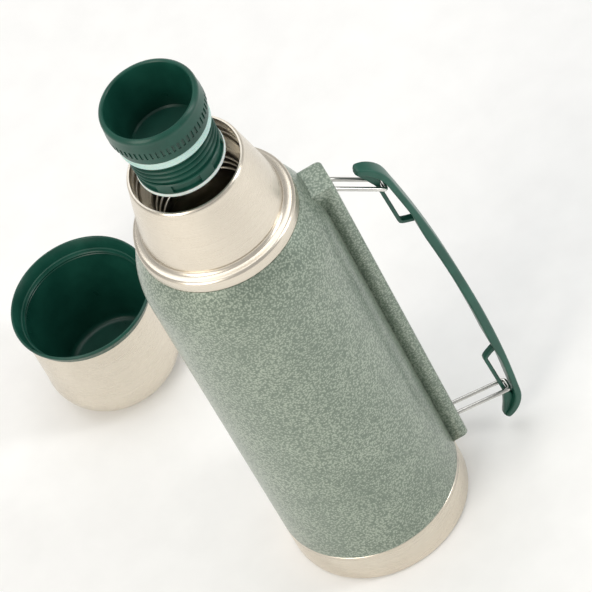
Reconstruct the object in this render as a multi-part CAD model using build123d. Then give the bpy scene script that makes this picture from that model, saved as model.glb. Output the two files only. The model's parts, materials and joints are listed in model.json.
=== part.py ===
"""Vacuum flask with a lifted-out stopper, a folding wire-and-bar handle and a cup that stands beside it.

Millimetres. +Z is up. The origin is the centre of the foot that the flask stands on, and the handle is at +X.
"""
import math
import os

from build123d import *

# ---------------------------------------------------------------- flask body
body_radius = 53.5
paint_line_z = 24.0
shell_wall = 0.8
foot_groove_depth = 1.4
foot_disc_radius = 30.0
foot_ring_radius = 44.0
foot_corner_radius = 3.2
shoulder_start_z = 246.0

# ---------------------------------------------------------------- neck
ring_bottom_z = 277.6
ring_radius = 45.2
ring_height = 11.9
cone_base_radius = 39.6
cone_middle_radius = 36.3
cone_top_radius = 32.6
cone_wall = 0.9
mouth_z = 330.0
mouth_radius = 30.6
rim_round = 2.6

# ---------------------------------------------------------------- inner vessel
vessel_wall = 0.6
vessel_radius = 47.5
vessel_bottom_z = 16.0
vessel_dome_radius = 20.0
throat_radius = 25.0
ledge_z = 316.0
ledge_drop = 7.0
throat_length = 25.0
vessel_shoulder_z = 248.0
roll_depth = 0.55
roll_count = 2
groove_count = 3
roll_spacing = 5.6
foil_thickness = 0.3
foil_length = 190.0

# ---------------------------------------------------------------- bottom plate and vacuum parts
plate_z = 9.0
plate_wall = 0.8
plate_lift = 3.0
plate_flat_radius = 16.0
seal_button_radius = 6.0
seal_button_height = 1.5
getter_radius = 8.0
getter_height = 1.8

# ---------------------------------------------------------------- handle rail and eyes
rail_stand_off = 9.0
rail_width = 20.0
rail_wall = 1.5
rail_bottom_z = 24.8
rail_length = 243.0
rail_edge_round = 3.2
eye_width = 4.0
eye_half_height = 2.9
eye_cover = 1.2
lower_pivot_z = 38.5
upper_pivot_z = 259.5
slot_reach = 7.6
upper_slot_reach_down = 20.0

# ---------------------------------------------------------------- wire bails
wire_diameter = 2.5
bail_length = 35.0
wire_bend_radius = 1.7
lower_bail_angle = -9.0
upper_bail_angle = -42.0

# ---------------------------------------------------------------- grip bar
grip_rise_at_wire = 5.3
grip_rise_at_middle = 10.6
grip_thickness = 5.0
grip_edge_thickness = 3.6
grip_width_middle = 18.0
grip_width_wire = 12.4
grip_width_tip = 7.0
window_run = 29.8
window_gap = 3.2
strip_thickness = 2.3
hook_reach = 23.5
hook_drop = 10.0

# ---------------------------------------------------------------- stopper
stopper_bottom_z = 335.0
seal_disc_height = 2.2
seal_disc_radius = 24.6
plug_radius = 22.7
plug_wall = 1.2
thread_crest_radius = 24.4
thread_count = 4
thread_spacing = 3.5
thread_start = 12.0
upper_seal_start = 25.8
upper_seal_height = 5.2
upper_seal_radius = 25.9
collar_neck_radius = 26.1
collar_radius = 27.6
collar_rim_radius = 26.2
collar_wall = 1.5
stopper_height = 52.0
collar_step_height = 36.6
well_floor_height = 17.0
well_floor_radius = 19.6
flute_count = 56
pour_window_count = 4

# ---------------------------------------------------------------- cup
cup_x = -91.0
cup_y = 180.5
cup_height = 74.6
cup_rim_radius = 43.2
cup_shell_radius = 40.8
cup_shell_wall = 0.6
cup_shell_height = 67.5
cup_foot_radius = 23.0
cup_bottom_round_z = 25.0
cup_liner_top_radius = 38.5
cup_liner_floor_radius = 31.0
cup_floor_z = 7.5
cup_liner_wall = 1.1
cup_floor_thickness = 2.0
cup_foam_height = 40.0

# ---------------------------------------------------------------- clearances
seat = 0.05
running = 0.05
side_clearance = 0.65
foam_clearance = 0.2
window_clearance = 0.35


def turned(*edges):
    """Revolve a closed outline drawn in (radius, height) about the flask's axis."""
    return revolve(Plane.XZ * make_face(Curve() + list(edges)), axis=Axis.Z)


def turned_outline(points):
    """Revolve a closed outline of straight runs."""
    return turned(Polyline(*points, close=True))


def tube(outer_radius, inner_radius, bottom_z, height):
    """A plain ring standing on bottom_z."""
    ring = Circle(outer_radius) - Circle(inner_radius)
    return Pos(0, 0, bottom_z) * extrude(ring, height)


# ---------------------------------------------------------------- flask shells
def base_cap():
    """Bare steel cup pressed over the bottom. A shallow groove in its foot leaves a ring and a disc to stand on."""
    inner = body_radius - shell_wall
    corner = foot_corner_radius
    flat = body_radius - corner
    groove = foot_groove_depth
    slope = 1.6
    under = Polyline(
        (0, 0),
        (foot_disc_radius, 0),
        (foot_disc_radius + slope, groove),
        (foot_ring_radius - slope, groove),
        (foot_ring_radius, 0),
        (flat, 0),
    )
    corner_out = RadiusArc((flat, 0), (body_radius, corner), -corner)
    wall = Polyline((body_radius, corner), (body_radius, paint_line_z), (inner, paint_line_z), (inner, corner))
    corner_in = RadiusArc((inner, corner), (flat, shell_wall), corner - shell_wall)
    over = Polyline(
        (flat, shell_wall),
        (foot_ring_radius + shell_wall / 2, shell_wall),
        (foot_ring_radius + shell_wall / 2 - slope, groove + shell_wall),
        (foot_disc_radius + slope - shell_wall / 2, groove + shell_wall),
        (foot_disc_radius - shell_wall / 2, shell_wall),
        (0, shell_wall),
        (0, 0),
    )
    return turned(under, corner_out, wall, corner_in, over)


def shoulder_arc_radius(drop, rise):
    """Radius of the arc that leaves the wall upright and has moved in by drop after rise."""
    return (drop**2 + rise**2) / (2 * drop)


def outer_outline(offset, bottom_z):
    """Outside of the painted body, moved out by offset, as a solid of revolution from bottom_z up."""
    radius = body_radius + offset
    top = ring_radius + offset
    arc = shoulder_arc_radius(radius - top, ring_bottom_z - shoulder_start_z)
    edges = Polyline((0, ring_bottom_z), (0, bottom_z), (radius, bottom_z), (radius, shoulder_start_z))
    shoulder = RadiusArc((radius, shoulder_start_z), (top, ring_bottom_z), -arc)
    lid = Line((top, ring_bottom_z), (0, ring_bottom_z))
    return turned(edges, shoulder, lid)


def outer_shell():
    """Painted steel wall and shoulder, standing on the bare base cap."""
    return outer_outline(0, paint_line_z) - outer_outline(-shell_wall, paint_line_z)


def neck_ring():
    """Bare steel ring with a rounded edge and a hollow groove under the cone."""
    top_z = ring_bottom_z + ring_height
    inner = cone_base_radius - cone_wall
    low_round = 0.8
    bead_top = ring_bottom_z + 0.68 * ring_height
    edges = [
        Polyline((inner, top_z), (inner, ring_bottom_z), (ring_radius - low_round, ring_bottom_z)),
        RadiusArc((ring_radius - low_round, ring_bottom_z), (ring_radius, ring_bottom_z + low_round), -low_round),
        Line((ring_radius, ring_bottom_z + low_round), (ring_radius, bead_top - 2.2)),
        RadiusArc((ring_radius, bead_top - 2.2), (ring_radius - 2.2, bead_top), -2.2),
        Line((ring_radius - 2.2, bead_top), (cone_base_radius + 1.6, bead_top + 0.4)),
        ThreePointArc(
            (cone_base_radius + 1.6, bead_top + 0.4),
            (cone_base_radius + 0.45, bead_top + 1.3),
            (cone_base_radius, top_z),
        ),
        Line((cone_base_radius, top_z), (inner, top_z)),
    ]
    return turned(*edges)


def neck_cone():
    """Bare steel cone, a little round in profile, that carries the mouth."""
    base_z = ring_bottom_z + ring_height
    top_z = mouth_z - rim_round
    middle_z = (base_z + top_z) / 2
    weld_radius = mouth_radius + vessel_wall
    edges = [
        ThreePointArc((cone_base_radius, base_z), (cone_middle_radius, middle_z), (cone_top_radius, top_z)),
        ThreePointArc(
            (cone_top_radius, top_z),
            (weld_radius + 0.72 * (cone_top_radius - weld_radius), mouth_z - 0.35 * rim_round),
            (weld_radius + 0.3, mouth_z),
        ),
        Polyline((weld_radius + 0.3, mouth_z), (weld_radius, mouth_z), (weld_radius, top_z)),
        ThreePointArc(
            (weld_radius, top_z),
            (cone_middle_radius - cone_wall, middle_z),
            (cone_base_radius - cone_wall, base_z),
        ),
        Line((cone_base_radius - cone_wall, base_z), (cone_base_radius, base_z)),
    ]
    return turned(*edges)


def vessel_outline():
    """Half section of the space inside the inner vessel, from its dished bottom to the mouth."""
    throat_top = ledge_z - ledge_drop
    throat_end = throat_top - throat_length
    dome = vessel_dome_radius
    edges = [
        Line((0, mouth_z), (0, vessel_bottom_z)),
        Line((0, vessel_bottom_z), (vessel_radius - dome, vessel_bottom_z)),
        RadiusArc((vessel_radius - dome, vessel_bottom_z), (vessel_radius, vessel_bottom_z + dome), -dome),
        Line((vessel_radius, vessel_bottom_z + dome), (vessel_radius, vessel_shoulder_z)),
        ThreePointArc(
            (vessel_radius, vessel_shoulder_z),
            (vessel_radius - 4.4, vessel_shoulder_z + 15),
            (throat_radius + 8, throat_end - 6),
        ),
        ThreePointArc(
            (throat_radius + 8, throat_end - 6),
            (throat_radius + 2.2, throat_end - 3.4),
            (throat_radius, throat_end),
        ),
        Line((throat_radius, throat_end), (throat_radius, throat_top)),
        Line((throat_radius, throat_top), (mouth_radius - 0.4, ledge_z)),
        Line((mouth_radius - 0.4, ledge_z), (mouth_radius, mouth_z)),
        Line((mouth_radius, mouth_z), (0, mouth_z)),
    ]
    return make_face(Curve() + edges)


def inner_vessel():
    """Bare steel inner vessel. Rolled rings stand in the mouth and rolled thread grooves in the throat."""
    inside = vessel_outline()
    outside = offset(inside, amount=vessel_wall, kind=Kind.ARC)
    half_plane = Pos(mouth_z / 2, mouth_z / 2) * Rectangle(mouth_z, mouth_z)
    vessel = revolve(Plane.XZ * (outside & half_plane), axis=Axis.Z)
    vessel -= revolve(Plane.XZ * inside, axis=Axis.Z)
    for turn in range(roll_count):
        z = mouth_z - (turn + 1) * roll_spacing
        vessel += Pos(0, 0, z) * Torus(mouth_radius - 0.2, roll_depth)
    for turn in range(groove_count):
        groove_z = ledge_z - ledge_drop - (turn + 1) * roll_spacing
        vessel += Pos(0, 0, groove_z) * Torus(throat_radius + vessel_wall, 2 * roll_depth)
        vessel -= Pos(0, 0, groove_z) * Torus(throat_radius, 2 * roll_depth)
    return vessel


def foil_wrap():
    """Copper foil wound on the inner vessel to hold back radiant heat."""
    inner = vessel_radius + vessel_wall + seat
    bottom = vessel_bottom_z + vessel_dome_radius + 6
    return tube(inner + foil_thickness, inner, bottom, foil_length)


def bottom_plate():
    """Dished plate that closes the vacuum space inside the base cap."""
    rim = body_radius - shell_wall - seat
    flat = plate_flat_radius
    top = plate_z + plate_lift
    over = [(rim, plate_z), (rim - 3.0, plate_z), (flat, top), (0, top)]
    under = [(0, top - plate_wall), (flat, top - plate_wall), (rim - 3.0, plate_z - plate_wall)]
    return turned_outline(over + under + [(rim, plate_z - plate_wall)])


def vacuum_seal():
    """Brazed button over the hole that the air was drawn out through."""
    top = plate_z + plate_lift - plate_wall - seat
    return Pos(0, 0, top - seal_button_height) * extrude(Circle(seal_button_radius), seal_button_height)


def getter():
    """Getter capsule that soaks up stray gas, held on the vacuum side of the bottom plate."""
    place = Pos(0, 0, plate_z + plate_lift + seat)
    return place * extrude(Circle(getter_radius), getter_height)


# ---------------------------------------------------------------- handle
rail_face_x = body_radius + rail_stand_off
wire_radius = wire_diameter / 2
pivot_x = rail_face_x - eye_cover - wire_radius - running
wire_half_spacing = eye_width / 2 + side_clearance + wire_radius


def rail_profile(inset):
    """Channel section across the rail, seen along the axis, reaching in to the flask's axis side."""
    width = rail_width - 2 * inset
    face_x = rail_face_x - inset
    depth = face_x - body_radius + 20
    block = Pos(face_x - depth / 2, 0) * Rectangle(depth, width)
    outer_corners = block.vertices().group_by(Axis.X)[-1]
    return fillet(outer_corners, max(rail_edge_round - inset, 0.6))


def handle_rail():
    """Painted channel welded along the body, closed at both ends, with a slot for each wire bail."""
    solid = Pos(0, 0, rail_bottom_z) * extrude(rail_profile(0), rail_length)
    hollow_length = rail_length - 2 * rail_wall
    solid -= Pos(0, 0, rail_bottom_z + rail_wall) * extrude(rail_profile(rail_wall), hollow_length)
    solid -= outer_outline(seat, -seat)
    slot_width = 2 * (wire_half_spacing + wire_radius + side_clearance)
    for pivot_z, reach_down in ((lower_pivot_z, slot_reach), (upper_pivot_z, upper_slot_reach_down)):
        length = slot_reach + reach_down
        centre_z = pivot_z + slot_reach - length / 2
        face = Plane.YZ.offset(rail_face_x - 2 * rail_wall) * Pos(0, centre_z)
        solid -= extrude(face * RectangleRounded(slot_width, length, 1.5), 3 * rail_wall)
    return solid


def hinge_eye(pivot_z):
    """Steel eye inside the rail. The end of the wire bail turns in its bore."""
    height = 2 * eye_half_height
    top_x = pivot_x + wire_radius + running + eye_cover
    block = Pos(top_x / 2, 0, pivot_z) * Box(top_x, eye_width, height)
    block = fillet(block.edges().filter_by(Axis.Y).group_by(Axis.X)[-1], 1.6)
    bore = Pos(pivot_x, 0, pivot_z) * Rot(90, 0, 0) * Cylinder(wire_radius + running, 2 * eye_width)
    return block - bore - outer_outline(seat, -seat)


def wire_bail(pivot_z, angle):
    """Closed loop of round wire, from the eye in the rail to the window in the grip."""
    width = 2 * wire_half_spacing
    loop = Pos(bail_length / 2, 0) * RectangleRounded(bail_length, width, wire_bend_radius)
    path = loop.wire()
    section = Plane(origin=path @ 0, z_dir=path % 0) * Circle(wire_radius)
    wire = sweep(section, path=path)
    return Pos(pivot_x, 0, pivot_z) * Rot(0, -angle, 0) * wire


def wire_end(pivot_z, angle):
    """Centre of the bail's outer rod in the plane of the handle, as (x, z)."""
    turn = math.radians(angle)
    return pivot_x + bail_length * math.cos(turn), pivot_z + bail_length * math.sin(turn)


lower_end = wire_end(lower_pivot_z, lower_bail_angle)
upper_end = wire_end(upper_pivot_z, upper_bail_angle)
span = math.dist(lower_end, upper_end)
grip_lean = math.degrees(math.atan2(lower_end[0] - upper_end[0], upper_end[1] - lower_end[1]))


def grip_curve(inset, end):
    """Points that the bar's back passes through, inset from it, from below one wire end to beyond the other."""
    middle = span / 2
    tip = (-hook_reach + 0.9 * inset, -hook_drop + 0.1 * inset)
    curl = (-17.5 + 0.75 * inset, -0.6 - 0.7 * inset)
    edge = (-8.0 + 0.2 * inset, 4.1 - inset)
    side = [tip, curl, edge, (4.0, grip_rise_at_wire + 0.4 - inset)]
    if end == "upper":
        return [(2 * middle - s, n) for s, n in reversed(side)]
    return side


def grip_back(inset, middle_inset):
    """The back of the bar as a curve, with the curl at both ends."""
    lower = grip_curve(inset, "lower")
    upper = grip_curve(inset, "upper")
    crown = [
        (span * 0.2, 0.64 * (grip_rise_at_middle - grip_rise_at_wire) + grip_rise_at_wire - middle_inset),
        (span * 0.5, grip_rise_at_middle - middle_inset),
        (span * 0.8, 0.64 * (grip_rise_at_middle - grip_rise_at_wire) + grip_rise_at_wire - middle_inset),
    ]
    return Spline(*lower, *crown, *upper)


def grip_skin():
    """Side view of the bar that the hand holds, from curled tip to curled tip."""
    back = grip_back(0, 0)
    front = grip_back(grip_edge_thickness, grip_thickness)
    return make_face(Curve() + [back, front, Line(back @ 0, front @ 0), Line(back @ 1, front @ 1)])


def grip_frame(end):
    """Side view of one window frame and the web that fills the curl behind it."""
    low = -window_gap / 2 - strip_thickness
    window_end = window_run + wire_radius + window_clearance
    points = [
        (-hook_reach + 4.2, -hook_drop + 1.0),
        (-14.0, -6.4),
        (-7.0, low - 0.8),
        (-3.0, low),
        (window_end + 1.2, low),
        (window_end + 4.6, grip_rise_at_wire),
        (10.0, grip_rise_at_wire + 0.2),
        (-8.0, 2.6),
        (-15.6, -1.4),
    ]
    if end == "upper":
        points = [(span - s, n) for s, n in points]
    return make_face(Polyline(*points, close=True))


def grip_window(end):
    """Side view of the window that the bail's rod runs in."""
    start = -wire_radius - window_clearance
    length = window_run + 2 * (wire_radius + window_clearance)
    centre = start + length / 2
    if end == "upper":
        centre = span - centre
    return Pos(centre, 0) * SlotOverall(length, window_gap)


def grip_plan():
    """Outline of the bar seen from outside, widest at the middle."""
    half = [
        (-hook_reach - 3, grip_width_tip / 2),
        (0, grip_width_wire / 2),
        (span / 2, grip_width_middle / 2),
        (span, grip_width_wire / 2),
        (span + hook_reach + 3, grip_width_tip / 2),
    ]
    near = Spline(*half)
    far = Spline(*[(s, -w) for s, w in half])
    return make_face(Curve() + [near, far, Line(near @ 0, far @ 0), Line(near @ 1, far @ 1)])


def grip_bar():
    """Moulded grip: a bowed bar with curled ends and a window frame behind each end."""
    side = Plane.XY
    skin = extrude(side * grip_skin(), grip_width_middle, both=True)
    plan = extrude(Plane.XZ * grip_plan(), 60, both=True)
    grip = skin & plan
    for end in ("lower", "upper"):
        grip += extrude(grip_frame(end), eye_width / 2, both=True)
    for end in ("lower", "upper"):
        grip -= extrude(grip_window(end), grip_width_middle, both=True)
    upright = Plane(origin=(lower_end[0], 0, lower_end[1]), x_dir=(0, 0, 1), z_dir=(0, 1, 0))
    upright = upright.rotated((0, 0, 0))
    placed = upright * grip
    return placed.rotate(Axis((lower_end[0], 0, lower_end[1]), (0, -1, 0)), grip_lean)


# ---------------------------------------------------------------- stopper
def stopper_plug():
    """Threaded lower half of the stopper, with a ring of recessed pour windows below the thread."""
    bottom = stopper_bottom_z + seal_disc_height
    top = stopper_bottom_z + upper_seal_start + upper_seal_height
    plug = tube(plug_radius, plug_radius - plug_wall, bottom, top - bottom)
    for turn in range(thread_count):
        z = stopper_bottom_z + thread_start + turn * thread_spacing
        ridge = [
            (plug_radius - 0.4, z - 1.0),
            (thread_crest_radius, z - 0.25),
            (thread_crest_radius, z + 0.25),
            (plug_radius - 0.4, z + 1.0),
        ]
        plug += turned_outline(ridge)
    for index in range(pour_window_count):
        window = Pos(0, 0, bottom + 4.2) * Rot(0, 0, 360 / pour_window_count * index + 20)
        plug -= window * Pos(plug_radius, 0, 0) * Box(1.4, 16.0, 4.6)
    return plug


def stopper_base():
    """Disc that closes the bottom of the stopper."""
    return Pos(0, 0, stopper_bottom_z) * extrude(Circle(plug_radius - plug_wall - seat), seal_disc_height + 1.6)


def stopper_bottom_seal():
    """Pale sealing ring round the bottom of the stopper."""
    ring = tube(seal_disc_radius, plug_radius - plug_wall, stopper_bottom_z, seal_disc_height)
    return fillet(ring.edges().filter_by(GeomType.CIRCLE).sort_by(SortBy.LENGTH)[-2:], 0.7)


def stopper_upper_seal():
    """Pale sealing band that closes on the ledge inside the mouth."""
    bottom = stopper_bottom_z + upper_seal_start
    ring = tube(upper_seal_radius, plug_radius, bottom, upper_seal_height)
    return fillet(ring.edges().filter_by(GeomType.CIRCLE).sort_by(SortBy.LENGTH)[-2:], 0.9)


def stopper_collar():
    """Fluted collar with a deep well in its top, which drops inside the threaded plug."""
    foot = stopper_bottom_z + upper_seal_start + upper_seal_height
    step = stopper_bottom_z + collar_step_height
    top = stopper_bottom_z + stopper_height
    floor = stopper_bottom_z + well_floor_height
    well_outer = plug_radius - plug_wall - seat
    edges = [
        Polyline((0, floor), (well_floor_radius + collar_wall, floor), (well_outer, floor + 4)),
        Line((well_outer, floor + 4), (well_outer, foot)),
        Polyline((well_outer, foot), (collar_neck_radius, foot), (collar_neck_radius, step - 0.5)),
        Line((collar_neck_radius, step - 0.5), (collar_radius - 0.5, step)),
        ThreePointArc((collar_radius - 0.5, step), (collar_radius, step + 3.2), (collar_radius - 0.3, step + 8.5)),
        ThreePointArc(
            (collar_radius - 0.3, step + 8.5),
            (collar_rim_radius + 0.3, top - 2.4),
            (collar_rim_radius - 0.5, top),
        ),
        Line((collar_rim_radius - 0.5, top), (collar_rim_radius - collar_wall + 0.3, top)),
        Polyline(
            (collar_rim_radius - collar_wall + 0.3, top),
            (collar_rim_radius - collar_wall, top - 3),
            (well_outer - 0.7, foot + 2),
            (well_floor_radius, floor + collar_wall),
            (0, floor + collar_wall),
            (0, floor),
        ),
    ]
    collar = turned(*edges)
    flute = Pos(collar_radius + 0.15, 0, step + 2.2) * Cylinder(0.75, 5.2)
    flutes = [Rot(0, 0, 360 / flute_count * index) * flute for index in range(flute_count)]
    return collar - flutes


def stopper_core():
    """Foam insulation between the closing disc and the floor of the well."""
    bottom = stopper_bottom_z + seal_disc_height + 1.6 + seat
    top = stopper_bottom_z + well_floor_height - seat
    return Pos(0, 0, bottom) * extrude(Circle(well_floor_radius), top - bottom)


# ---------------------------------------------------------------- cup
def cup_outer(offset):
    """Outside of the cup's steel shell, moved out by offset, as a solid of revolution."""
    foot = cup_foot_radius + offset
    side = cup_shell_radius + offset
    bottom = -offset
    edges = [
        Polyline((0, cup_shell_height), (0, bottom), (foot, bottom)),
        ThreePointArc(
            (foot, bottom),
            (foot + 0.79 * (side - foot), bottom + 0.36 * cup_bottom_round_z),
            (side, cup_bottom_round_z + 1.0),
        ),
        Polyline((side, cup_bottom_round_z + 1.0), (side - 0.5, cup_shell_height), (0, cup_shell_height)),
    ]
    return turned(*edges)


def cup_shell():
    """Bare steel outside of the cup, with a large round into its foot."""
    return cup_outer(0) - cup_outer(-cup_shell_wall)


def cup_liner():
    """Moulded liner: straight tapered inside, a shallow ledge below the rim and a lip over the steel."""
    wall = cup_liner_wall
    ledge = cup_shell_height - 0.4
    floor_round = 4.0
    slope = (cup_liner_top_radius - cup_liner_floor_radius) / (ledge - cup_floor_z)
    low_radius = cup_liner_floor_radius + slope * floor_round
    rim = cup_rim_radius
    side = cup_shell_radius + seat
    edges = [
        Line((0, cup_floor_z), (cup_liner_floor_radius - floor_round, cup_floor_z)),
        ThreePointArc(
            (cup_liner_floor_radius - floor_round, cup_floor_z),
            (cup_liner_floor_radius - 0.9, cup_floor_z + 1.1),
            (low_radius, cup_floor_z + floor_round),
        ),
        Line((low_radius, cup_floor_z + floor_round), (cup_liner_top_radius, ledge)),
        Polyline((cup_liner_top_radius, ledge), (cup_liner_top_radius + 0.7, ledge + 0.4)),
        ThreePointArc(
            (cup_liner_top_radius + 0.7, ledge + 0.4),
            (rim - 2.7, ledge + 4.6),
            (rim - 1.5, cup_height - 0.5),
        ),
        ThreePointArc((rim - 1.5, cup_height - 0.5), (rim - 0.9, cup_height), (rim - 0.2, cup_height - 0.5)),
        ThreePointArc((rim - 0.2, cup_height - 0.5), (rim, cup_height - 1.4), (rim - 0.5, cup_height - 2.6)),
        Line((rim - 0.5, cup_height - 2.6), (side, cup_shell_height + seat)),
        Polyline(
            (side, cup_shell_height + seat),
            (cup_liner_top_radius + wall, cup_shell_height + seat),
            (cup_liner_top_radius + wall, ledge - 2.0),
            (low_radius + wall, cup_floor_z + floor_round - wall),
            (low_radius - 1.5, cup_floor_z - cup_floor_thickness),
            (0, cup_floor_z - cup_floor_thickness),
            (0, cup_floor_z),
        ),
    ]
    return turned(*edges)


def cup_liner_back(clearance):
    """The liner filled in solid and grown by clearance, to cut its room out of the foam."""
    slope = (cup_liner_top_radius - cup_liner_floor_radius) / (cup_shell_height - 0.4 - cup_floor_z)
    low = cup_liner_floor_radius + 4.0 * slope + cup_liner_wall + clearance
    high = cup_liner_top_radius + cup_liner_wall + clearance
    bottom_z = cup_floor_z - cup_floor_thickness - clearance
    shoulder_z = cup_floor_z + 4.0 - cup_liner_wall
    top_z = cup_shell_height - 2.4
    return turned_outline([(0, bottom_z), (low - 1.5, bottom_z), (low, shoulder_z), (high, top_z), (0, top_z)])


def cup_foam():
    """Insulating foam between the cup's liner and its shell."""
    band = tube(cup_shell_radius, cup_foot_radius, cup_floor_z + 6.0, cup_foam_height)
    return (band & cup_outer(-cup_shell_wall - foam_clearance)) - cup_liner_back(foam_clearance)


def write(name, shape):
    """Write one piece and print its size."""
    box = shape.bounding_box()
    print(f"{name:22s} solids {len(shape.solids())}  volume {shape.volume:10.1f}  size {box.size}")
    export_step(shape, f"parts/{name}.step")


def main():
    """Build every piece in its place and write each one to its own file."""
    os.makedirs("parts", exist_ok=True)
    write("base_cap", base_cap())
    write("outer_shell", outer_shell())
    write("neck_ring", neck_ring())
    write("neck_cone", neck_cone())
    write("inner_vessel", inner_vessel())
    write("foil_wrap", foil_wrap())
    write("bottom_plate", bottom_plate())
    write("vacuum_seal", vacuum_seal())
    write("getter", getter())
    write("handle_rail", handle_rail())
    write("lower_hinge_eye", hinge_eye(lower_pivot_z))
    write("upper_hinge_eye", hinge_eye(upper_pivot_z))
    write("lower_bail", wire_bail(lower_pivot_z, lower_bail_angle))
    write("upper_bail", wire_bail(upper_pivot_z, upper_bail_angle))
    write("grip_bar", grip_bar())
    write("stopper_plug", stopper_plug())
    write("stopper_base", stopper_base())
    write("stopper_bottom_seal", stopper_bottom_seal())
    write("stopper_upper_seal", stopper_upper_seal())
    write("stopper_collar", stopper_collar())
    write("stopper_core", stopper_core())
    beside = Pos(cup_x, cup_y, 0)
    write("cup_shell", beside * cup_shell())
    write("cup_liner", beside * cup_liner())
    write("cup_foam", beside * cup_foam())
    print("lower wire end", lower_end, "upper wire end", upper_end, "span", span, "lean", grip_lean)


main()
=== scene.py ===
# %% [markdown]
# # A vacuum flask with a lifted stopper, a folding handle and its cup
# The CAD model is loaded first as a fixed frame. Every piece made below takes the place of a CAD piece or
# stands on it, so nothing has to be fitted by eye. All lengths in this lesson are millimetres until `mm`
# turns them into metres, because a maker thinks of a flask in millimetres.

# %% Load the frame
import json
import math

import bpy
from mathutils import Matrix, Vector


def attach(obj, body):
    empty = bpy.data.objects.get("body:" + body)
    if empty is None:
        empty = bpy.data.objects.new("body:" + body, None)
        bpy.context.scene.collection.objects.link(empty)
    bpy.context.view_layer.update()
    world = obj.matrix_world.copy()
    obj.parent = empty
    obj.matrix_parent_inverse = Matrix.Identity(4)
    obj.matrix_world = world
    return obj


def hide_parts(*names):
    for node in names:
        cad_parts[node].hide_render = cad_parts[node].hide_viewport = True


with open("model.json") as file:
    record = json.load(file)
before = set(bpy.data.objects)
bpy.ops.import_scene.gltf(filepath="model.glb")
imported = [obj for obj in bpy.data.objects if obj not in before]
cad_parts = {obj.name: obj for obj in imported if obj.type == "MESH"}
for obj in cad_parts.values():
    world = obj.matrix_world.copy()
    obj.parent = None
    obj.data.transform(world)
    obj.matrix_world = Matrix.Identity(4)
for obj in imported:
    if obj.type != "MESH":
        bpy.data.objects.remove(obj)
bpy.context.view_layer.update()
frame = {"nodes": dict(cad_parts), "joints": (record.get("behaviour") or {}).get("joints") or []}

# %% [markdown]
# ## Helpers for lengths, colours and nodes
# Colours are written as the hex values that a paint chart shows and are turned to linear light by one
# function. One function adds a shader node with its settings and its links, whatever kind of node it is.

# %% Lengths, colours and nodes
def mm(*values):
    """Millimetres to metres, as one number or a tuple."""
    scaled = tuple(value / 1000 for value in values)
    return scaled[0] if len(scaled) == 1 else scaled


def colour(hex_code):
    """An sRGB hex code as linear red, green, blue and alpha."""
    parts = [int(hex_code[i:i + 2], 16) / 255 for i in (1, 3, 5)]
    return tuple(c / 12.92 if c <= 0.04045 else ((c + 0.055) / 1.055) ** 2.4 for c in parts) + (1.0,)


def add_node(material, kind, settings=None, stops=(), **inputs):
    """Adds one node. Settings are its own properties, and stops are a colour ramp's (place, hex colour) pairs.
    An input, by its name or as i and its number, is a value or another node's output socket."""
    node = material.node_tree.nodes.new(kind)
    for name, value in (settings or {}).items():
        setattr(node, name, value)
    while stops and len(node.color_ramp.elements) < len(stops):
        node.color_ramp.elements.new(0.5)
    for i, (place, hex_code) in enumerate(stops):
        node.color_ramp.elements[i].position = place
        node.color_ramp.elements[i].color = colour(hex_code)
    for name, value in inputs.items():
        numbered = name[0] == "i" and name[1:].isdigit()
        socket = node.inputs[int(name[1:])] if numbered else node.inputs[name.replace("_", " ")]
        if isinstance(value, bpy.types.NodeSocket):
            material.node_tree.links.new(value, socket)
        else:
            socket.default_value = value
    return node


def new_material(name, **shader_values):
    """An empty node material with one Principled shader, ready for its patterns."""
    material = bpy.data.materials.new(name)
    material.use_nodes = True
    shader = material.node_tree.nodes["Principled BSDF"]
    for key, value in shader_values.items():
        shader.inputs[key.replace("_", " ")].default_value = value
    return material, shader


def join_sockets(material, output, socket):
    """Links an output to a socket of the shader."""
    material.node_tree.links.new(output, socket)


# %% [markdown]
# ## Hammertone enamel
# The body is sprayed with hammertone enamel, a stoved paint with aluminium flake and a little silicone. The
# silicone pulls the wet film into cells about a millimetre across, so the surface looks beaten: each cell
# is a low dome, pale in the middle where the flake lies flat and darker at its rim, where the film sinks.
# Cells are drawn with a smooth Voronoi pattern 1.2 mm across and 0.11 mm high, about as fine as still shows
# from here.

# %% Hammertone enamel
CELL_SIZE = 1.2
CELL_HEIGHT = 0.11


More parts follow.
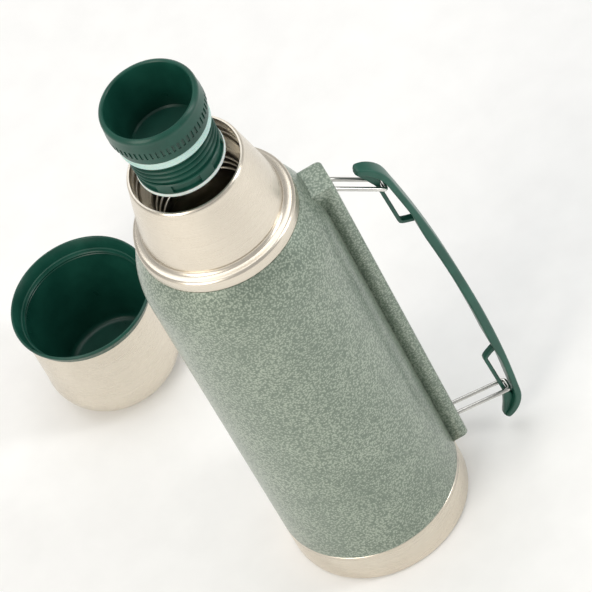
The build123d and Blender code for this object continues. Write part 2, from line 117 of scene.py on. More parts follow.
def hammertone(name, rim_hex, middle_hex, bright_hex):
    """Hammered enamel from the dark rim of a cell to its bright middle."""
    material, shader = new_material(name, Metallic=0.42, Roughness=0.36,
                                    Coat_Weight=0.35, Coat_Roughness=0.16)
    place = add_node(material, "ShaderNodeTexCoord").outputs["Object"]
    wander = add_node(material, "ShaderNodeTexNoise", Vector=place, Scale=0.55 / mm(CELL_SIZE), Detail=3.0)
    offset = add_node(material, "ShaderNodeVectorMath", {"operation": "MULTIPLY_ADD"},
                      i0=wander.outputs["Color"], i1=(mm(1.5), mm(1.5), mm(1.5)), i2=place)
    cells = add_node(material, "ShaderNodeTexVoronoi", {"feature": "SMOOTH_F1"},
                     Vector=offset.outputs["Vector"], Scale=1 / mm(CELL_SIZE), Smoothness=0.35, Randomness=1.0)
    fine = add_node(material, "ShaderNodeTexNoise", Vector=place, Scale=1 / mm(0.9), Detail=2.0)
    blotch = add_node(material, "ShaderNodeTexNoise", Vector=place, Scale=1 / mm(22), Detail=2.0)
    level = add_node(material, "ShaderNodeMath", {"operation": "MULTIPLY_ADD"}, i0=fine.outputs[0], i1=0.35,
                     i2=cells.outputs["Distance"])
    level = add_node(material, "ShaderNodeMath", {"operation": "MULTIPLY_ADD"}, i0=blotch.outputs[0], i1=0.30,
                     i2=level.outputs[0])
    tone = add_node(material, "ShaderNodeValToRGB", i0=level.outputs[0],
                    stops=[(0.45, bright_hex), (0.70, middle_hex), (0.95, rim_hex)])
    join_sockets(material, tone.outputs["Color"], shader.inputs["Base Color"])
    gloss = add_node(material, "ShaderNodeMapRange", Value=fine.outputs[0], To_Min=0.28, To_Max=0.46)
    join_sockets(material, gloss.outputs[0], shader.inputs["Roughness"])
    bump = add_node(material, "ShaderNodeBump", {"invert": True}, Strength=0.75, Distance=mm(CELL_HEIGHT),
                    Height=cells.outputs["Distance"])
    join_sockets(material, bump.outputs[0], shader.inputs["Normal"])
    return material


body_paint = hammertone("hammertone_enamel_sprayed", "#6E7C6F", "#94A091", "#A7B1A2")
print("made", body_paint.name)

# %% [markdown]
# ## Spun stainless steel
# The neck, the cup and the base are stainless steel, spun on a lathe and left with a satin polish. The
# polish leaves fine rings round the axis. They are drawn as noise that changes only with height, 0.35 mm
# wide, and a slow cloudy change in gloss tells of handling.

# %% Spun stainless steel
POLISH_LINE = 0.35


def spun_steel(name, low_hex, high_hex, rough, line_strength):
    """Satin steel with polishing rings that run round the vertical axis."""
    material, shader = new_material(name, Metallic=1.0, Roughness=rough)
    place = add_node(material, "ShaderNodeTexCoord").outputs["Object"]
    squashed = add_node(material, "ShaderNodeMapping", Vector=place, Scale=(0.012, 0.012, 1.0))
    lines = add_node(material, "ShaderNodeTexNoise", Vector=squashed.outputs[0],
                     Scale=1 / mm(POLISH_LINE), Detail=3.0)
    cloud = add_node(material, "ShaderNodeTexNoise", Vector=place,
                     Scale=1 / mm(18), Detail=3.0, Roughness=0.6)
    mix = add_node(material, "ShaderNodeMath", {"operation": "MULTIPLY_ADD"}, i0=lines.outputs[0],
                   i1=0.6, i2=0.0)
    mix = add_node(material, "ShaderNodeMath", {"operation": "MULTIPLY_ADD"}, i0=cloud.outputs[0], i1=0.4,
                   i2=mix.outputs[0])
    tone = add_node(material, "ShaderNodeValToRGB", i0=mix.outputs[0],
                    stops=[(0.3, low_hex), (0.7, high_hex)])
    join_sockets(material, tone.outputs["Color"], shader.inputs["Base Color"])
    gloss = add_node(material, "ShaderNodeMapRange", Value=mix.outputs[0], From_Min=0.3, From_Max=0.7,
                     To_Min=rough - 0.06, To_Max=rough + 0.08)
    join_sockets(material, gloss.outputs[0], shader.inputs["Roughness"])
    bump = add_node(material, "ShaderNodeBump", Strength=line_strength, Distance=mm(0.05),
                    Height=lines.outputs[0])
    join_sockets(material, bump.outputs[0], shader.inputs["Normal"])
    return material


satin_steel = spun_steel("stainless_steel_spun_satin", "#D6CDBE", "#E2DACC", 0.27, 0.10)
inner_steel = spun_steel("stainless_steel_drawn", "#C9C3B7", "#E4DED2", 0.30, 0.25)
print("made", satin_steel.name, inner_steel.name)

# %% [markdown]
# ## Moulded polypropylene, silicone and plated wire
# The stopper, the cup's liner and the grip are moulded polypropylene. A spark-eroded mould leaves a faint
# grain of about 0.5 mm. Thick places of a moulding look a little paler; here the tone only changes slowly
# from place to place. The seals are pale silicone rubber, which lets some light in. The wires are plated
# steel with fine scuffs along them.

# %% Polymers, wire, foil and foam
def moulded(name, dark_hex, light_hex, rough, grain, grain_depth, **shader_values):
    """A moulded polymer with the grain of its mould and a slow change in tone."""
    material, shader = new_material(name, Roughness=rough, **shader_values)
    place = add_node(material, "ShaderNodeTexCoord").outputs["Object"]
    tone = add_node(material, "ShaderNodeTexNoise", Vector=place, Scale=1 / mm(16), Detail=3.0)
    speck = add_node(material, "ShaderNodeTexNoise", Vector=place, Scale=1 / mm(grain), Detail=2.0)
    both = add_node(material, "ShaderNodeMath", {"operation": "MULTIPLY_ADD"}, i0=speck.outputs[0], i1=0.35,
                    i2=tone.outputs[0])
    dyed = add_node(material, "ShaderNodeValToRGB", i0=both.outputs[0],
                    stops=[(0.45, dark_hex), (0.9, light_hex)])
    join_sockets(material, dyed.outputs["Color"], shader.inputs["Base Color"])
    gloss = add_node(material, "ShaderNodeMapRange", Value=tone.outputs[0],
                     To_Min=rough - 0.08, To_Max=rough + 0.10)
    join_sockets(material, gloss.outputs[0], shader.inputs["Roughness"])
    bump = add_node(material, "ShaderNodeBump", Strength=0.35, Distance=mm(grain_depth),
                    Height=speck.outputs[0])
    join_sockets(material, bump.outputs[0], shader.inputs["Normal"])
    return material


green_polymer = moulded("polypropylene_moulded_green", "#0F3D32", "#1A4F42", 0.30, 0.5, 0.02,
                        Specular_IOR_Level=0.35)
grip_polymer = moulded("polypropylene_moulded_grip", "#17493C", "#245C4D", 0.34, 0.6, 0.03,
                       Specular_IOR_Level=0.4)
rubber_light = {"Subsurface_Weight": 0.12, "Subsurface_Scale": mm(1.5)}
pale_silicone = moulded("silicone_moulded_pale", "#A9CBC4", "#C4DED8", 0.5, 0.8, 0.02, **rubber_light)
white_silicone = moulded("silicone_moulded_white", "#CBD6D2", "#DCE5E1", 0.5, 0.8, 0.02, **rubber_light)
plated_wire = moulded("steel_wire_plated", "#B6B6B2", "#DEDDD8", 0.22, 0.9, 0.02, Metallic=1.0)
copper_foil = moulded("copper_foil_rolled", "#B07048", "#D99A70", 0.25, 1.5, 0.08, Metallic=1.0)
cream_foam = moulded("polyurethane_foam_cut", "#C9BF98", "#E4DBB8", 0.85, 0.7, 0.2)
print("made polymers, wire, foil and foam")

# %% [markdown]
# ## A lathe in edit mode
# Most of a flask is round, so it is turned rather than carved. A flat outline is drawn vertex by vertex
# with extrude, in the plane through the axis, and spun right round. The seam and the poles are then merged,
# and the normals made to agree. Curved parts of an outline are arcs through three points.

# %% Turning pieces
def arc(start, through, end, steps=8):
    """Points along the circle from start through a middle point to end, without the first one."""
    (ax, ay), (bx, by), (cx, cy) = start, through, end
    d = 2 * (ax * (by - cy) + bx * (cy - ay) + cx * (ay - by))
    a2, b2, c2 = ax * ax + ay * ay, bx * bx + by * by, cx * cx + cy * cy
    ux = (a2 * (by - cy) + b2 * (cy - ay) + c2 * (ay - by)) / d
    uy = (a2 * (cx - bx) + b2 * (ax - cx) + c2 * (bx - ax)) / d
    radius = math.hypot(ax - ux, ay - uy)
    first = math.atan2(ay - uy, ax - ux)
    sweep = math.atan2(cy - uy, cx - ux) - first
    half = math.atan2(by - uy, bx - ux) - first
    sweep = sweep % math.tau
    if not 0 <= half % math.tau <= sweep:
        sweep -= math.tau
    angles = [first + sweep * i / steps for i in range(1, steps + 1)]
    return [(ux + radius * math.cos(angle), uy + radius * math.sin(angle)) for angle in angles]


def new_piece(name):
    """A new mesh object with one vertex at the origin, in edit mode."""
    bpy.ops.object.select_all(action="DESELECT")
    bpy.ops.mesh.primitive_plane_add(size=mm(1))
    piece = bpy.context.object
    piece.name = name
    piece.data.name = name
    bpy.ops.object.mode_set(mode="EDIT")
    bpy.ops.mesh.select_mode(type="VERT")
    bpy.ops.mesh.merge(type="CENTER")
    return piece


def finish_piece(piece, body, material, angle=35):
    """Leaves edit mode, smooths the shading and fixes the piece to its body."""
    bpy.ops.object.mode_set(mode="OBJECT")
    bpy.ops.object.select_all(action="DESELECT")
    piece.select_set(True)
    bpy.context.view_layer.objects.active = piece
    bpy.ops.object.shade_smooth_by_angle(angle=math.radians(angle))
    piece.data.materials.clear()
    piece.data.materials.append(material)
    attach(piece, body)
    print(piece.name, len(piece.data.polygons), "faces")
    return piece


def turn(name, outline, steps=160):
    """Spins a closed outline of (radius, height) about the flask's axis. Stays in edit mode."""
    piece = new_piece(name)
    loop = list(outline) + [outline[0]]
    bpy.ops.transform.translate(value=mm(loop[0][0], 0, loop[0][1]))
    for (r0, z0), (r1, z1) in zip(loop, loop[1:]):
        bpy.ops.mesh.extrude_region_move(TRANSFORM_OT_translate={"value": mm(r1 - r0, 0, z1 - z0)})
    bpy.ops.mesh.select_all(action="SELECT")
    bpy.ops.mesh.remove_doubles(threshold=mm(0.002))
    bpy.ops.mesh.spin(steps=steps, angle=math.tau, center=(0, 0, 0), axis=(0, 0, 1))
    bpy.ops.mesh.select_all(action="SELECT")
    bpy.ops.mesh.remove_doubles(threshold=mm(0.002))
    bpy.ops.mesh.normals_make_consistent(inside=False)
    return piece


print("a quarter circle in two steps:", arc((1, 0), (0.7071, 0.7071), (0, 1), 2))

# %% [markdown]
# ## Body, base and neck
# The body is a drawn tube with a rounded shoulder. The bare base cap is pressed over its foot, and the neck
# is a ring and a slightly barrelled cone, welded on. The cone's wall turns in at the mouth to meet the
# inner vessel.

# %% Body and base
body_r, paint_line, wall = 53.5, 24.0, 0.8
shoulder_low, shoulder_top, shoulder_r = 246.0, 277.6, 45.2
drop, rise = body_r - shoulder_r, shoulder_top - shoulder_low
arc_r = (drop ** 2 + rise ** 2) / (2 * drop)
half_turn = math.asin(rise / arc_r) / 2


def shoulder_middle(inset):
    """The middle of the shoulder's arc, moved inwards by inset."""
    r = arc_r - inset
    return body_r - arc_r + r * math.cos(half_turn), shoulder_low + r * math.sin(half_turn)


corner = 3.2
outline = [(0, 0), (30, 0), (31.6, 1.4), (42.4, 1.4), (44, 0), (body_r - corner, 0)]
outline += arc(outline[-1], (body_r - 0.293 * corner, 0.293 * corner), (body_r, corner), 8)
outline += [(body_r, 20.4), (body_r - 0.12, 20.7), (body_r, 21.0), (body_r, paint_line - 0.25),
            (body_r - 0.25, paint_line), (body_r - wall, paint_line), (body_r - wall, corner)]
outline += arc(outline[-1], (body_r - 0.293 * corner - 0.5, 0.293 * corner + 0.5), (body_r - corner, wall), 6)
outline += [(44.4, wall), (42.8, 2.2), (31.2, 2.2), (29.6, wall), (0, wall)]
base = turn("base_cap_turned", outline, 200)
finish_piece(base, "flask", satin_steel)
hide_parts("base_cap")

outline = [(body_r - 0.2, paint_line), (body_r, paint_line + 0.25), (body_r, 120), (body_r, shoulder_low)]
outline += arc(outline[-1], shoulder_middle(0), (shoulder_r, shoulder_top), 16)
outline += [(shoulder_r - wall, shoulder_top)]
outline += arc(outline[-1], shoulder_middle(wall), (body_r - wall, shoulder_low), 10)
outline += [(body_r - wall, paint_line)]
shell = turn("outer_shell_turned", outline, 200)
finish_piece(shell, "flask", body_paint)
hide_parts("outer_shell")

# %% [markdown]
# The neck ring is a heavy turned ring with a rounded bead that the cup comes down on. The cone above it is
# drawn with a slightly full curve, because a straight cone looks pinched in polished steel.

# %% Neck ring and cone
ring_low, ring_r, cone_r = 277.6, 45.2, 39.6
ring_top, mouth, mouth_r = 289.5, 330.0, 30.6
bead_top = ring_low + 8.1
outline = [(38.7, ring_top), (38.7, ring_low), (ring_r - 0.8, ring_low)]
outline += arc(outline[-1], (ring_r - 0.23, ring_low + 0.23), (ring_r, ring_low + 0.8), 5)
outline += [(ring_r, bead_top - 2.2)]
outline += arc(outline[-1], (ring_r - 0.64, bead_top - 0.64), (ring_r - 2.2, bead_top), 8)
outline += [(cone_r + 1.6, bead_top + 0.4)]
outline += arc(outline[-1], (cone_r + 0.45, bead_top + 1.3), (cone_r, ring_top), 8)
neck_ring = turn("neck_ring_turned", outline, 200)
finish_piece(neck_ring, "flask", satin_steel)
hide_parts("neck_ring")

cone_top, weld_r = mouth - 2.6, mouth_r + 0.6
middle_z = (ring_top + cone_top) / 2
outline = [(cone_r, ring_top)]
outline += arc(outline[-1], (36.3, middle_z), (32.6, cone_top), 16)
outline += arc(outline[-1], (weld_r + 0.72 * 1.4, mouth - 0.91), (weld_r + 0.3, mouth), 8)
outline += [(weld_r, mouth), (weld_r, cone_top)]
outline += arc(outline[-1], (35.4, middle_z), (cone_r - 0.9, ring_top), 10)
cone = turn("neck_cone_turned", outline, 200)
finish_piece(cone, "flask", satin_steel)
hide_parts("neck_cone")

# %% [markdown]
# ## Inner vessel
# The vessel that holds the drink is drawn from thinner steel. Its mouth has two rolled rings, a
# funnel-shaped ledge that the stopper's seal closes on, and a narrower throat with rolled thread grooves.

# %% Inner vessel
ledge_top, ledge_low, throat_r, throat_end = 316.0, 309.0, 25.0, 284.0
vessel_r, vessel_low, dome, skin = 47.5, 16.0, 20.0, 0.6


def vessel_line(grow):
    """The vessel's wall from its bottom to its mouth, moved outwards by grow."""
    line = [(0, vessel_low - grow), (vessel_r - dome, vessel_low - grow)]
    reach = 0.293 * dome - 0.707 * grow
    line += arc(line[-1], (vessel_r - reach, vessel_low + reach), (vessel_r + grow, vessel_low + dome), 10)
    line += [(vessel_r + grow, 248)]
    bend = (vessel_r - 4.4 + grow, 263 + 0.5 * grow)
    line += arc(line[-1], bend, (throat_r + 8, throat_end - 6 + grow), 12)
    bend = (throat_r + 2.2 + 0.7 * grow, throat_end - 3.4 + 0.7 * grow)
    line += arc(line[-1], bend, (throat_r + grow, throat_end), 6)
    for turn_z in (292.2, 297.8, 303.4):
        line += [(throat_r + grow, turn_z - 1.3)]
        line += arc(line[-1], (throat_r + grow + 0.8, turn_z), (throat_r + grow, turn_z + 1.3), 6)
    line += [(throat_r + grow, ledge_low - 1.8)]
    bend = (throat_r + grow + 0.25, ledge_low - 0.4)
    line += arc(line[-1], bend, (throat_r + grow + 1.1, ledge_low + 1.0 - grow / 2), 5)
    line += [(mouth_r - 1.6 + grow, ledge_top - 2.2 - grow / 2)]
    bend = (mouth_r - 0.75 + grow, ledge_top - 0.9)
    line += arc(line[-1], bend, (mouth_r - 0.35 + grow, ledge_top + 0.4), 4)
    for turn_z in (318.8, 324.4):
        line += [(mouth_r - 0.2 + grow, turn_z - 0.9)]
        line += arc(line[-1], (mouth_r - 0.75 + grow, turn_z), (mouth_r - 0.2 + grow, turn_z + 0.9), 6)
    return line + [(mouth_r + grow, mouth)]


outline = vessel_line(0) + list(reversed(vessel_line(skin)))
vessel = turn("inner_vessel_turned", outline, 128)
finish_piece(vessel, "flask", inner_steel, 50)
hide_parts("inner_vessel")

# %% [markdown]
# ## Stopper
# The stopper is a threaded plug with a fluted collar. Its collar ends in a row of short ribs, which are cut
# by insetting every other pair of faces along the collar's lower edge. The pour windows are recessed the
# same way. The thread is a small section wound up round the plug.

# %% [markdown]
# Inset works on what is selected, so faces are chosen in code by their height and by their place round the
# axis.

# %% Choosing faces by place, and the plug
def choose_faces(piece, low_z, high_z, wanted):
    """Selects outward faces between two heights whose place round the axis is wanted, as a part of a turn."""
    bpy.ops.mesh.select_mode(type="FACE")
    bpy.ops.mesh.select_all(action="DESELECT")
    bpy.ops.object.mode_set(mode="OBJECT")
    for face in piece.data.polygons:
        c = face.center
        radial = face.normal.x * c.x + face.normal.y * c.y
        part = (math.atan2(c.y, c.x) / math.tau) % 1
        face.select = mm(low_z) < c.z < mm(high_z) and radial > 0 and wanted(part)
    bpy.ops.object.mode_set(mode="EDIT")


bottom = 335.0
plug_r, plug_in = 22.7, 21.5
skirt_r = 24.2
outline = [(plug_in, bottom + 2.2), (skirt_r - 0.3, bottom + 2.2), (skirt_r, bottom + 2.5),
           (skirt_r, bottom + 3.2), (skirt_r, bottom + 8.4), (skirt_r, bottom + 9.2),
           (skirt_r - 0.4, bottom + 9.7), (plug_r, bottom + 9.9),
           (plug_r, bottom + 31.0), (plug_in, bottom + 31.0)]
plug = turn("stopper_plug_turned", outline, 192)
choose_faces(plug, bottom + 3.3, bottom + 8.3, lambda part: (part * 6) % 1 < 0.66)
bpy.ops.mesh.inset(thickness=mm(0.15), depth=mm(-1.2))
finish_piece(plug, "stopper", green_polymer)
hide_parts("stopper_plug")

# %% [markdown]
# A screw thread is one ridge that climbs as it goes round. A small rounded section is drawn beside the
# plug, and a Screw modifier winds it four times round the axis. Its two open ends are then filled.

# %% Thread
thread = new_piece("stopper_thread_wound")
root_r, flank_r, crown_r, crest_r = plug_r - 0.2, 23.9, 24.3, 24.4
section = [(root_r, -1.3), (flank_r, -0.75), (crown_r, -0.4), (crest_r, 0.0), (crown_r, 0.4), (flank_r, 0.75),
           (root_r, 1.3)]
start_z = bottom + 10.4
bpy.ops.transform.translate(value=mm(section[0][0], 0, start_z + section[0][1]))
for (r0, z0), (r1, z1) in zip(section, section[1:] + section[:1]):
    bpy.ops.mesh.extrude_region_move(TRANSFORM_OT_translate={"value": mm(r1 - r0, 0, z1 - z0)})
bpy.ops.mesh.select_all(action="SELECT")
bpy.ops.mesh.remove_doubles(threshold=mm(0.002))
bpy.ops.object.mode_set(mode="OBJECT")
wind = thread.modifiers.new("wind", "SCREW")
wind.axis = "Z"
wind.angle = math.tau
wind.iterations = 4
wind.screw_offset = mm(3.7)
wind.steps = 96
wind.render_steps = 96
wind.use_merge_vertices = True
wind.merge_threshold = mm(0.001)
bpy.ops.object.modifier_apply(modifier=wind.name)
bpy.ops.object.mode_set(mode="EDIT")
bpy.ops.mesh.select_all(action="SELECT")
bpy.ops.mesh.fill_holes(sides=0)
bpy.ops.mesh.normals_make_consistent(inside=False)
finish_piece(thread, "stopper", green_polymer, 50)

# %% [markdown]
# Two silicone rings seal the stopper: a thin one round its foot and a wider one under the collar, which has
# a fine groove so that it flexes. They are turned like the plug, with rounded lips.

# %% Seals
low_in = 21.5
outline = [(low_in, bottom), (23.9, bottom)]
outline += arc(outline[-1], (24.4, bottom + 0.2), (24.6, bottom + 0.7), 4)
outline += [(24.6, bottom + 1.5)]
outline += arc(outline[-1], (24.4, bottom + 2.0), (23.9, bottom + 2.2), 4)
outline += [(low_in, bottom + 2.2)]
low_seal = turn("stopper_bottom_seal_turned", outline, 128)
finish_piece(low_seal, "stopper", white_silicone)
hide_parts("stopper_bottom_seal")

seal_low, seal_high, seal_r = bottom + 25.8, bottom + 31.0, 25.9
outline = [(plug_r, seal_low), (seal_r - 0.9, seal_low)]
outline += arc(outline[-1], (seal_r - 0.26, seal_low + 0.26), (seal_r, seal_low + 0.9), 5)
outline += [(seal_r, seal_high - 2.6), (seal_r - 0.25, seal_high - 2.3), (seal_r - 0.25, seal_high - 1.9),
            (seal_r, seal_high - 1.6), (seal_r, seal_high - 0.5), (seal_r - 0.4, seal_high),
            (plug_r, seal_high)]
high_seal = turn("stopper_upper_seal_turned", outline, 160)
finish_piece(high_seal, "stopper", pale_silicone)
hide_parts("stopper_upper_seal")

# %% [markdown]
# The collar is the part that the fingers turn. It bulges, rounds over into a thick rim and ends below in
# short ribs. One short notch is wanted at every other pair of faces, and inset sinks them all at once.

# %% Collar with its ribs
step_z, top_z, foot_z, floor_z = bottom + 36.6, bottom + 52.0, bottom + 31.0, bottom + 17.0
neck_r, collar_r, rim_r, collar_wall = 26.1, 27.6, 26.4, 2.4
outline = [(0, floor_z), (21.1, floor_z), (21.45, floor_z + 4), (21.45, foot_z), (neck_r - 0.4, foot_z),
           (neck_r, foot_z + 0.4), (neck_r, foot_z + 3.0), (neck_r + 0.35, foot_z + 3.3),
           (neck_r + 0.35, step_z - 0.6), (collar_r - 0.6, step_z)]
outline += [(collar_r - 0.1, step_z + 0.6), (collar_r, step_z + 3.0), (collar_r, step_z + 5.8)]
outline += arc(outline[-1], (collar_r - 0.25, step_z + 9.0), (rim_r + 0.75, top_z - 3.4), 6)
outline += arc(outline[-1], (rim_r + 0.2, top_z - 1.0), (rim_r - 0.9, top_z), 6)
outline += arc(outline[-1], (rim_r - 1.7, top_z - 0.25), (rim_r - collar_wall + 0.1, top_z - 1.2), 4)
outline += [(rim_r - collar_wall, top_z - 3), (20.75, foot_z + 2), (19.9, floor_z + 3.4),
            (18.9, floor_z + collar_wall), (0, floor_z + collar_wall)]
collar = turn("stopper_collar_turned", outline, 232)
choose_faces(collar, step_z - 0.55, step_z + 5.9, lambda part: (part * 58) % 1 < 0.5)
bpy.ops.mesh.inset(thickness=mm(0.12), depth=mm(-0.62))
finish_piece(collar, "stopper", green_polymer)
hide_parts("stopper_collar")

# %% [markdown]
# ## Cup
# The cup is a steel shell with a moulded liner whose lip flares over the steel. A narrow ledge inside the
# lip carries two fine thread lines that hold the cup on the neck.

# %% Cup shell and liner
cup_place = Vector(mm(-91.0, 180.5, 0))


def stand_cup(piece):
    """Moves a turned piece, still in edit mode, to where the cup stands."""
    bpy.ops.mesh.select_all(action="SELECT")
    bpy.ops.transform.translate(value=cup_place)


foot, side, shell_top = 23.0, 40.8, 67.5
outline = [(0, 0.6), (foot - 4, 0.6), (foot - 3, 0), (foot, 0)]
outline += arc(outline[-1], (foot + 0.79 * (side - foot), 9.0), (side, 26.0), 16)
outline += [(side - 0.5, shell_top), (side - 1.1, shell_top), (side - 0.6, 26.0)]
outline += arc(outline[-1], (foot + 0.79 * (side - foot) - 0.42, 9.42), (foot, 0.6), 12)
outline += [(foot - 2, 1.2), (0, 1.2)]
cup_shell = turn("cup_shell_turned", outline, 160)
stand_cup(cup_shell)
finish_piece(cup_shell, "cup", satin_steel)
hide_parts("cup_shell")

liner_top, liner_low, cup_floor, rim, cup_top = 38.5, 31.0, 7.5, 43.2, 74.6
ledge = shell_top - 0.4
slope = (liner_top - liner_low) / (ledge - cup_floor)
low_r = liner_low + 4 * slope
outline = [(0, cup_floor), (27.0, cup_floor)]
outline += arc(outline[-1], (30.1, 8.6), (low_r, cup_floor + 4), 6)
outline += [(liner_top - 0.65, ledge - 5.0)]
near = liner_top - 0.5
for thread_z in (ledge - 3.9, ledge - 2.0):
    outline += [(near, thread_z - 0.5), (near - 0.35, thread_z - 0.15), (near - 0.35, thread_z + 0.15),
                (near, thread_z + 0.5)]
outline += [(liner_top, ledge), (liner_top + 0.7, ledge + 0.4)]
outline += arc(outline[-1], (rim - 2.7, ledge + 4.6), (rim - 1.5, cup_top - 0.5), 6)
outline += arc(outline[-1], (rim - 0.9, cup_top), (rim - 0.2, cup_top - 0.5), 6)
outline += arc(outline[-1], (rim, cup_top - 1.4), (rim - 0.5, cup_top - 2.6), 4)
outline += [(side + 0.05, shell_top + 0.05), (liner_top + 1.1, shell_top + 0.05),
            (liner_top + 1.1, ledge - 2.0), (low_r + 1.1, 10.4), (low_r - 1.5, 5.5), (0, 5.5)]
liner = turn("cup_liner_turned", outline, 160)
stand_cup(liner)
finish_piece(liner, "cup", green_polymer)
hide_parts("cup_liner")

# %% [markdown]
# ## Grip
# The grip is one moulding: a bowed bar with curled ends, and a slotted frame behind each end for the wire
# to slide in. The bar starts as a rounded rectangle and is carried along the bow by extrude, turn and
# scale, and each frame is a narrower section carried round its slot.

# %% Carrying a section along a path
hinges = {joint["name"]: Vector(joint["pos_m"]) * 1000 for joint in frame["joints"] if "pos_m" in joint}
bail_length, lower_lean, upper_lean = 35.0, math.radians(9.0), math.radians(42.0)


def wire_end(hinge, lean):
    """The far end of a wire that leaves its hinge outwards and leans down from level."""
    return hinges[hinge] + bail_length * Vector((math.cos(lean), 0, -math.sin(lean)))


low_end = wire_end("lower_bail_swing", lower_lean)
high_end = wire_end("upper_bail_swing", upper_lean)
along = (high_end - low_end).normalized()
outward = Vector((along.z, 0, -along.x))
span = (high_end - low_end).length


def grip_point(s, n):
    """A place on the grip: s along from the lower wire, n outwards."""
    return low_end + along * s + outward * n


def path_slopes(points):
    """The lean of the path at each point, from its neighbours, as a turn about Y from straight up."""
    slopes = []
    for i in range(len(points)):
        run = points[min(i + 1, len(points) - 1)] - points[max(i - 1, 0)]
        slopes.append(math.atan2(run.x, run.z))
    return slopes


def lean_ring(slope, centre):
    """Leans the chosen ring about Y. With no window the operator turns the other way, hence the sign."""
    if abs(slope) > 1e-6:
        bpy.ops.transform.rotate(value=-slope, orient_axis="Y", orient_type="GLOBAL", center_override=centre)


def carry(name, stations, width, depth, round_off):
    """Carries a rounded rectangle along stations of (s, n, width, depth). Stays in edit mode."""
    bpy.ops.object.select_all(action="DESELECT")
    bpy.ops.mesh.primitive_plane_add(size=1)
    piece = bpy.context.object
    piece.name = name
    piece.data.name = name
    bpy.ops.object.mode_set(mode="EDIT")
    bpy.ops.transform.resize(value=mm(depth, width, 1))
    bpy.ops.mesh.bevel(affect="VERTICES", offset=mm(round_off), segments=5)
    points = [grip_point(s, n) / 1000 for s, n, _, _ in stations]
    slopes = path_slopes(points)
    last_slope, last_point, last_size = 0.0, Vector((0, 0, 0)), (width, depth)
    for i, (point, slope, (_, _, wide, deep)) in enumerate(zip(points, slopes, stations)):
        if i:
            bpy.ops.mesh.extrude_region_move(TRANSFORM_OT_translate={"value": (0, 0, 0)})
        bpy.ops.transform.translate(value=point - last_point)
        lean_ring(-last_slope, point)
        bpy.ops.transform.resize(value=(deep / last_size[1], wide / last_size[0], 1), center_override=point)
        lean_ring(slope, point)
        last_slope, last_point, last_size = slope, point, (wide, deep)
    bpy.ops.mesh.select_all(action="SELECT")
    bpy.ops.mesh.normals_make_consistent(inside=False)
    return piece


def rise_at(s):
    """How far the bar's back stands out at s, from a bow with curled ends."""
    half = abs(s - span / 2) / (span / 2)
    return 10.6 - 5.3 * half ** 2.2


print("the grip spans", round(span, 1), "mm between the wires")

# %% [markdown]
# The bar is thick where the hand holds it and thins towards its curled ends, so each station has its own
# width and depth. One level of subdivision then rounds it like a moulding.

# %% The bar and its frames
end_curl = [(-22.6, -9.6, 6.6, 3.0), (-21.4, -7.4, 7.2, 4.0), (-19.6, -4.6, 7.8, 4.4),
            (-17.0, -2.2, 8.8, 4.4), (-13.4, 0.2, 10.0, 4.2), (-9.0, 2.2, 11.2, 3.9),
            (-4.0, 3.2, 12.0, 3.7), (0.0, 3.5, 12.4, 3.6)]
stations = list(end_curl)
count = 26
for i in range(1, count):
    s = span * i / count
    middle = 1 - abs(2 * s / span - 1)
    deep = 3.7 + 1.7 * min(1.0, max(0.0, (middle * span / 2 - 30) / 14))
    stations.append((s, rise_at(s) - deep / 2, 12.4 + 5.6 * math.sin(math.pi * min(1, middle) / 2), deep))
stations += [(span - s, n, w, d) for s, n, w, d in reversed(end_curl)]
bar = carry("grip_bar_moulded", stations, stations[0][2], stations[0][3], 0.7)
finish_piece(bar, "grip", grip_polymer, 50)
soften = bar.modifiers.new("soften", "SUBSURF")
soften.levels = 1
soften.render_levels = 1
bpy.ops.object.modifier_apply(modifier=soften.name)
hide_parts("grip_bar")


def frame_stations(flip):
    """The slotted frame behind one end of the bar, from the curl round the slot and back into the bar."""
    path = [(-21.2, -9.3), (-18.5, -7.6), (-15.0, -5.3), (-11.5, -3.6), (-8.0, -2.6), (-5.4, -2.5),
            (-3.4, -2.7), (0.0, -2.75), (10.0, -2.75), (20.0, -2.75), (30.0, -2.75), (31.6, -2.5),
            (32.5, -1.7), (34.0, 0.9), (35.6, 4.2)]
    size = [(4.0, 2.0), (4.0, 3.4), (4.0, 4.8), (4.0, 5.6), (4.0, 5.4), (4.0, 3.8), (4.0, 2.5)]
    size += [(4.0, 2.3)] * 5 + [(4.0, 2.4), (4.0, 2.5), (4.0, 2.7)]
    placed = [(s, n, w, d) for (s, n), (w, d) in zip(path, size)]
    if flip:
        placed = [(span - s, n, w, d) for s, n, w, d in reversed(placed)]
    return placed


# %% [markdown]
# Behind each end a narrow frame leaves the curl, runs beside the slot for the wire and turns back into the
# bar. The upper one is the lower one mirrored along the bar.

# %% Grip windows
for end, flip in (("lower", False), ("upper", True)):
    loop = frame_stations(flip)
    window = carry(f"grip_window_{end}", loop, loop[0][2], loop[0][3], 0.6)
    finish_piece(window, "grip", grip_polymer, 40)

# %% [markdown]
# ## Rail, eyes and wires
# The rail, the eyes inside it and the wire bails keep their CAD shapes. A CAD mesh is loose triangles, so
# each is copied, its doubles are merged and its flat faces joined, and its round faces can then be shaded
# smooth.

# %% Copies of CAD pieces
def copy_of(node, name, body, material, angle=30):
    """A merged and smoothed copy of a CAD piece, which stands for it."""
    bpy.ops.object.select_all(action="DESELECT")
    piece = bpy.data.objects.new(name, frame["nodes"][node].data.copy())
    piece.data.name = name
    bpy.context.scene.collection.objects.link(piece)
    bpy.context.view_layer.objects.active = piece
    piece.select_set(True)
    bpy.ops.object.mode_set(mode="EDIT")
    bpy.ops.mesh.select_all(action="SELECT")
    bpy.ops.mesh.remove_doubles(threshold=mm(0.002))
    bpy.ops.mesh.dissolve_limited(angle_limit=math.radians(0.5))
    finish_piece(piece, body, material, angle)
    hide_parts(node)


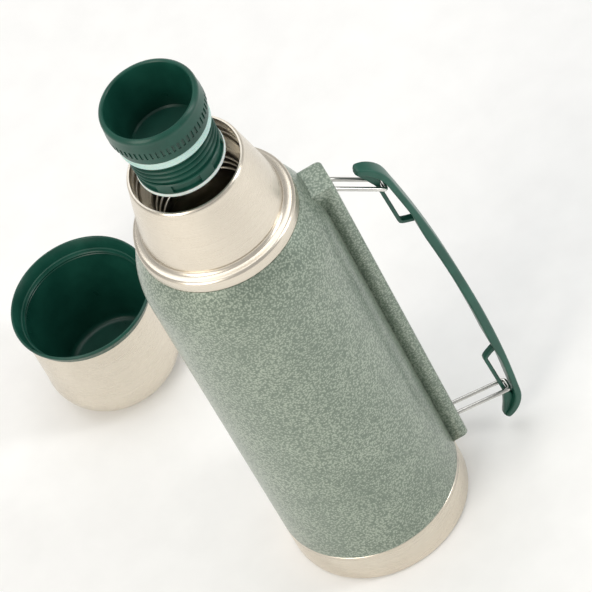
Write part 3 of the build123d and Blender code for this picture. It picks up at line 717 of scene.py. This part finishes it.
copy_of("handle_rail", "handle_rail_pressed", "flask", body_paint)
copy_of("lower_hinge_eye", "lower_eye_cut", "flask", plated_wire)
copy_of("upper_hinge_eye", "upper_eye_cut", "flask", plated_wire)
copy_of("lower_bail", "lower_bail_bent", "lower_bail", plated_wire, 50)
copy_of("upper_bail", "upper_bail_bent", "upper_bail", plated_wire, 50)

# %% [markdown]
# ## Hidden pieces
# The foil, the plate, the seal button, the getter, the foam and the closing disc are out of sight or nearly
# so. They still get the finish of what they are made of, because the model can be taken apart.

# %% Finish for the CAD pieces that stay
for node, material in (("foil_wrap", copper_foil), ("bottom_plate", inner_steel),
                       ("vacuum_seal", inner_steel),
                       ("getter", inner_steel), ("stopper_core", cream_foam), ("stopper_base", green_polymer),
                       ("cup_foam", cream_foam)):
    held = frame["nodes"][node]
    held.data.materials.clear()
    held.data.materials.append(material)
    print(node, "finished as", material.name)

# %% [markdown]
# ## Floor, light and camera
# The flask stands on a wide sheet of pale matt paper. A sheet could curve up into a wall, but from this
# height the floor fills the picture, so a flat one is enough. Its fibres give it a barely uneven tone.

# %% Floor
bpy.ops.object.select_all(action="DESELECT")
bpy.ops.mesh.primitive_plane_add(size=12)
floor = bpy.context.object
floor.name = "studio_floor"
floor_paint, floor_shader = new_material("paper_sheet_matt", Roughness=0.9)
floor_place = add_node(floor_paint, "ShaderNodeTexCoord").outputs["Object"]
fibres = add_node(floor_paint, "ShaderNodeTexNoise", Vector=floor_place, Scale=1 / mm(25), Detail=3.0)
floor_tone = add_node(floor_paint, "ShaderNodeValToRGB", i0=fibres.outputs[0],
                      stops=[(0.3, "#F4F4F3"), (0.7, "#F8F8F7")])
join_sockets(floor_paint, floor_tone.outputs["Color"], floor_shader.inputs["Base Color"])
floor.data.materials.append(floor_paint)
print(floor.name, tuple(floor.dimensions))

# %% [markdown]
# Steel and gloss enamel show whatever lights them, so the lamps are large and soft: a warm window on the
# left, a narrow strip on the right that draws the edge of the rail, and a wide sheet above. Pale air fills
# the shadows.

# %% Lights
def soft_lamp(name, place, size, power, tint="#FFFFFF", target=(0, 0, 0.17)):
    """A square area lamp that looks at the flask."""
    lamp = bpy.data.lights.new(name, "AREA")
    lamp.shape = "RECTANGLE"
    lamp.size, lamp.size_y = size
    lamp.energy = power
    lamp.color = colour(tint)[:3]
    holder = bpy.data.objects.new(name, lamp)
    bpy.context.scene.collection.objects.link(holder)
    holder.location = place
    holder.rotation_euler = (Vector(target) - Vector(place)).to_track_quat("-Z", "Y").to_euler()
    print(name, power, "W")


soft_lamp("left_window", (-1.3, -0.9, 1.1), (1.0, 1.4), 17, "#FFF8EE")
soft_lamp("right_strip", (1.3, -0.5, 0.9), (0.35, 1.4), 8, "#FFFFFF")
soft_lamp("top_sheet", (0.0, 0.5, 1.9), (1.6, 1.6), 13, "#FFFFFF")
world = bpy.data.worlds.new("studio_air")
bpy.context.scene.world = world
world.use_nodes = True
world.node_tree.nodes["Background"].inputs["Color"].default_value = colour("#FBFBFA")
world.node_tree.nodes["Background"].inputs["Strength"].default_value = 0.55
bpy.context.scene.view_settings.view_transform = "Standard"

# %% [markdown]
# A long lens from high in front keeps the flask's sides nearly parallel. The camera is rolled, so the
# upright flask leans across the picture, and its axis is turned a little off the flask to leave room for
# the handle.

# %% Camera
def aim_camera(camera, target, elevation, distance, roll, off_right, off_up):
    """Places the rolled camera in front of the flask, its axis turned off the target by two small slopes."""
    tilt = math.radians(elevation)
    back = Vector((0, -math.cos(tilt), math.sin(tilt)))
    right, up = Vector((1, 0, 0)), Vector((0, math.sin(tilt), math.cos(tilt)))
    forward = (-back + off_right * right + off_up * up).normalized()
    across = math.cos(roll) * right + math.sin(roll) * up
    across = (across - across.dot(forward) * forward).normalized()
    upward = across.cross(forward)
    turned = Matrix((across, upward, -forward)).transposed().to_4x4()
    camera.matrix_world = Matrix.Translation(Vector(target) + back * distance) @ turned


lens = bpy.data.cameras.new("long_lens")
camera = bpy.data.objects.new("long_lens", lens)
bpy.context.scene.collection.objects.link(camera)
bpy.context.scene.camera = camera
lens.sensor_width = 36
lens.lens = 303.0
lens.clip_end = 50
aim_camera(camera, (0, 0, 0.0856), 51.55, 2.7638, math.radians(-30.2), 0.00604, 0.02486)
print("camera at", tuple(round(value, 3) for value in camera.matrix_world.translation))
